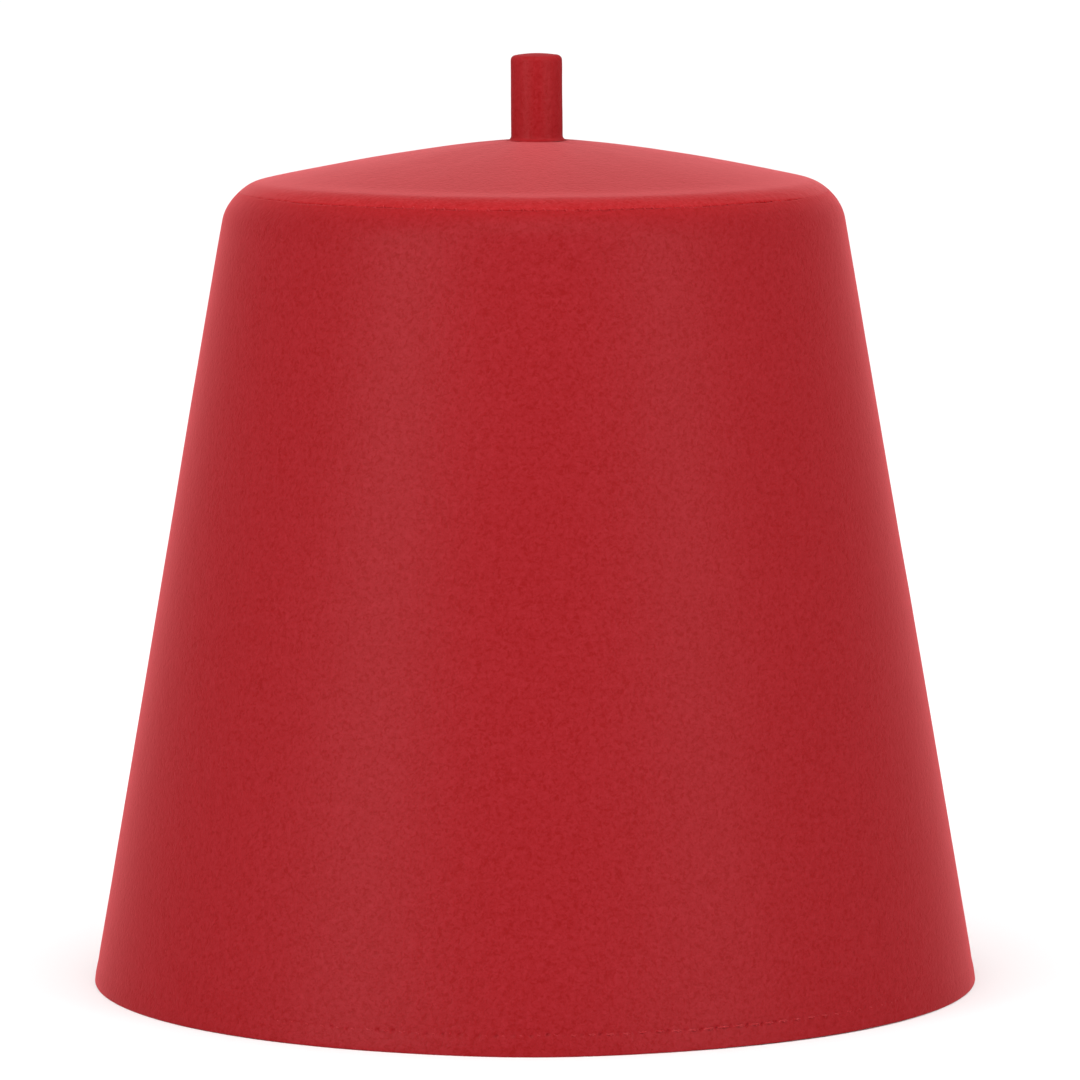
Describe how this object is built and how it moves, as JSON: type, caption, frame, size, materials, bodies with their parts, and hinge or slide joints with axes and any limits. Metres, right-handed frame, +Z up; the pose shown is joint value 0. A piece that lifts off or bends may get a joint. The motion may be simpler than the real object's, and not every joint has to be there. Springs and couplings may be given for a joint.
{
  "type": "fez hat",
  "caption": "Plain fez: a tapered stiff felt wall, a shallow domed felt top sewn on along the soft corner, and a short felt stalk, open below for the head.",
  "frame": {"origin": "centre of the hem's underside, on the surface that the hat rests on", "axes": "+Z up along the hat's axis, -Y towards the picture's viewer"},
  "size_m": [0.1858, 0.1858, 0.1951],
  "materials": {
    "wall_felt": "matt red wool felt with a fine mottled grain and a soft pale fuzz at grazing angles",
    "top_felt": "matt red wool felt, as the wall",
    "stalk_felt": "matt red wool felt, as the wall"
  },
  "bodies": {
    "root": {"side_wall": "wall_felt", "top_panel": "top_felt", "stalk": "stalk_felt"}
  },
  "joints": []
}
